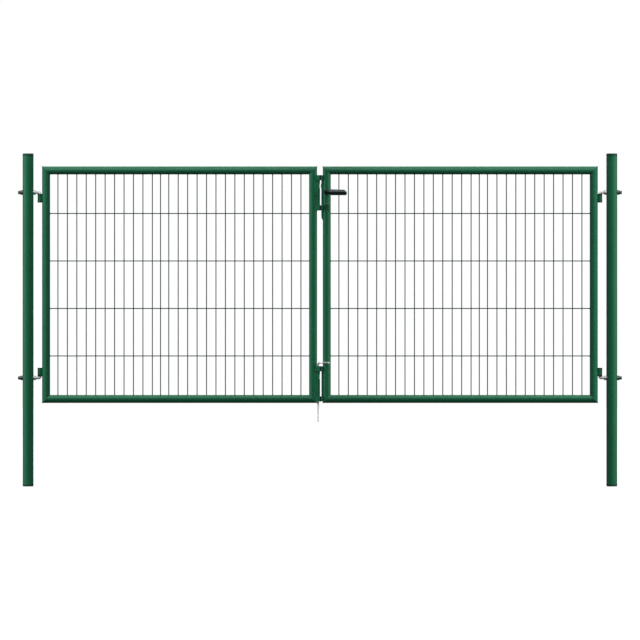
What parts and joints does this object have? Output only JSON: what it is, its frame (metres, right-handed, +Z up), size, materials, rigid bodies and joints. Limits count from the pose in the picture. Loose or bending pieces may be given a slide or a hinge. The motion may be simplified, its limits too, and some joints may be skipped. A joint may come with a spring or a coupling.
{
  "type": "double garden gate",
  "caption": "Swinging double garden gate with round-tube leaves, welded wire mesh, round posts, hook-bolt hinges, a lever lock and a drop bolt.",
  "frame": {"origin": "centre of the flat underside of the left post's foot", "axes": "+X runs along the gate to the right post, -Y is the side of the drop bolt's handle, +Z is up along the posts"},
  "size_m": [3.164, 0.15, 1.745],
  "materials": {
    "green_coating": "satin moss-green powder coating",
    "galvanised_steel": "matt zinc coating",
    "dark_metal": "dark grey coating on metal",
    "cap_plastic": "moss-green moulded plastic",
    "lever_plastic": "black moulded plastic"
  },
  "bodies": {
    "posts": {"left_post": "green_coating", "left_post_cap": "cap_plastic", "left_post_foot": "cap_plastic", "right_post": "green_coating", "right_post_cap": "cap_plastic", "right_post_foot": "cap_plastic", "left_top_hinge_pin": "galvanised_steel", "left_top_inner_nut": "galvanised_steel", "left_bottom_hinge_pin": "galvanised_steel", "left_bottom_inner_nut": "galvanised_steel", "right_top_hinge_pin": "galvanised_steel", "right_top_inner_nut": "galvanised_steel", "right_bottom_hinge_pin": "galvanised_steel", "right_bottom_inner_nut": "galvanised_steel", "left_top_outer_nut": "dark_metal", "left_bottom_outer_nut": "dark_metal", "right_top_outer_nut": "dark_metal", "right_bottom_outer_nut": "dark_metal"},
    "left_leaf": {"left_outer_stile": "green_coating", "left_inner_stile": "green_coating", "left_top_rail": "green_coating", "left_bottom_rail": "green_coating", "left_mesh": "green_coating", "left_top_barrel": "green_coating", "left_bottom_barrel": "green_coating", "latch_keeper": "green_coating", "bolt_guide": "green_coating"},
    "drop_bolt": {"drop_bolt": "galvanised_steel"},
    "right_leaf": {"right_outer_stile": "green_coating", "right_inner_stile": "green_coating", "right_top_rail": "green_coating", "right_bottom_rail": "green_coating", "right_mesh": "green_coating", "right_top_barrel": "green_coating", "right_bottom_barrel": "green_coating", "lock_plate": "green_coating", "lower_strip": "green_coating", "latch_bolt": "galvanised_steel", "key_cylinder": "dark_metal", "front_key_plate": "green_coating", "back_key_plate": "green_coating", "front_rose": "lever_plastic", "back_rose": "lever_plastic"},
    "lever": {"front_lever": "lever_plastic", "back_lever": "lever_plastic"}
  },
  "joints": [
    {"name": "left_leaf_hinge", "type": "hinge", "parent": "posts", "child": "left_leaf", "pos_m": [0.0625, 0, 0.6], "axis": [0, 0, -1], "range_deg": [0, 100]},
    {"name": "drop_bolt_slide", "type": "slide", "parent": "left_leaf", "child": "drop_bolt", "axis": [0, 0, 1], "range_m": [0, 0.1]},
    {"name": "right_leaf_hinge", "type": "hinge", "parent": "posts", "child": "right_leaf", "pos_m": [2.9975, 0, 0.6], "axis": [0, 0, -1], "range_deg": [0, 100]},
    {"name": "lever_turn", "type": "hinge", "parent": "right_leaf", "child": "lever", "pos_m": [1.566, 0, 1.542], "axis": [0, 1, 0], "range_deg": [0, 40], "stiffness_Nm_per_rad": 1, "springref_deg": -28.65}
  ]
}
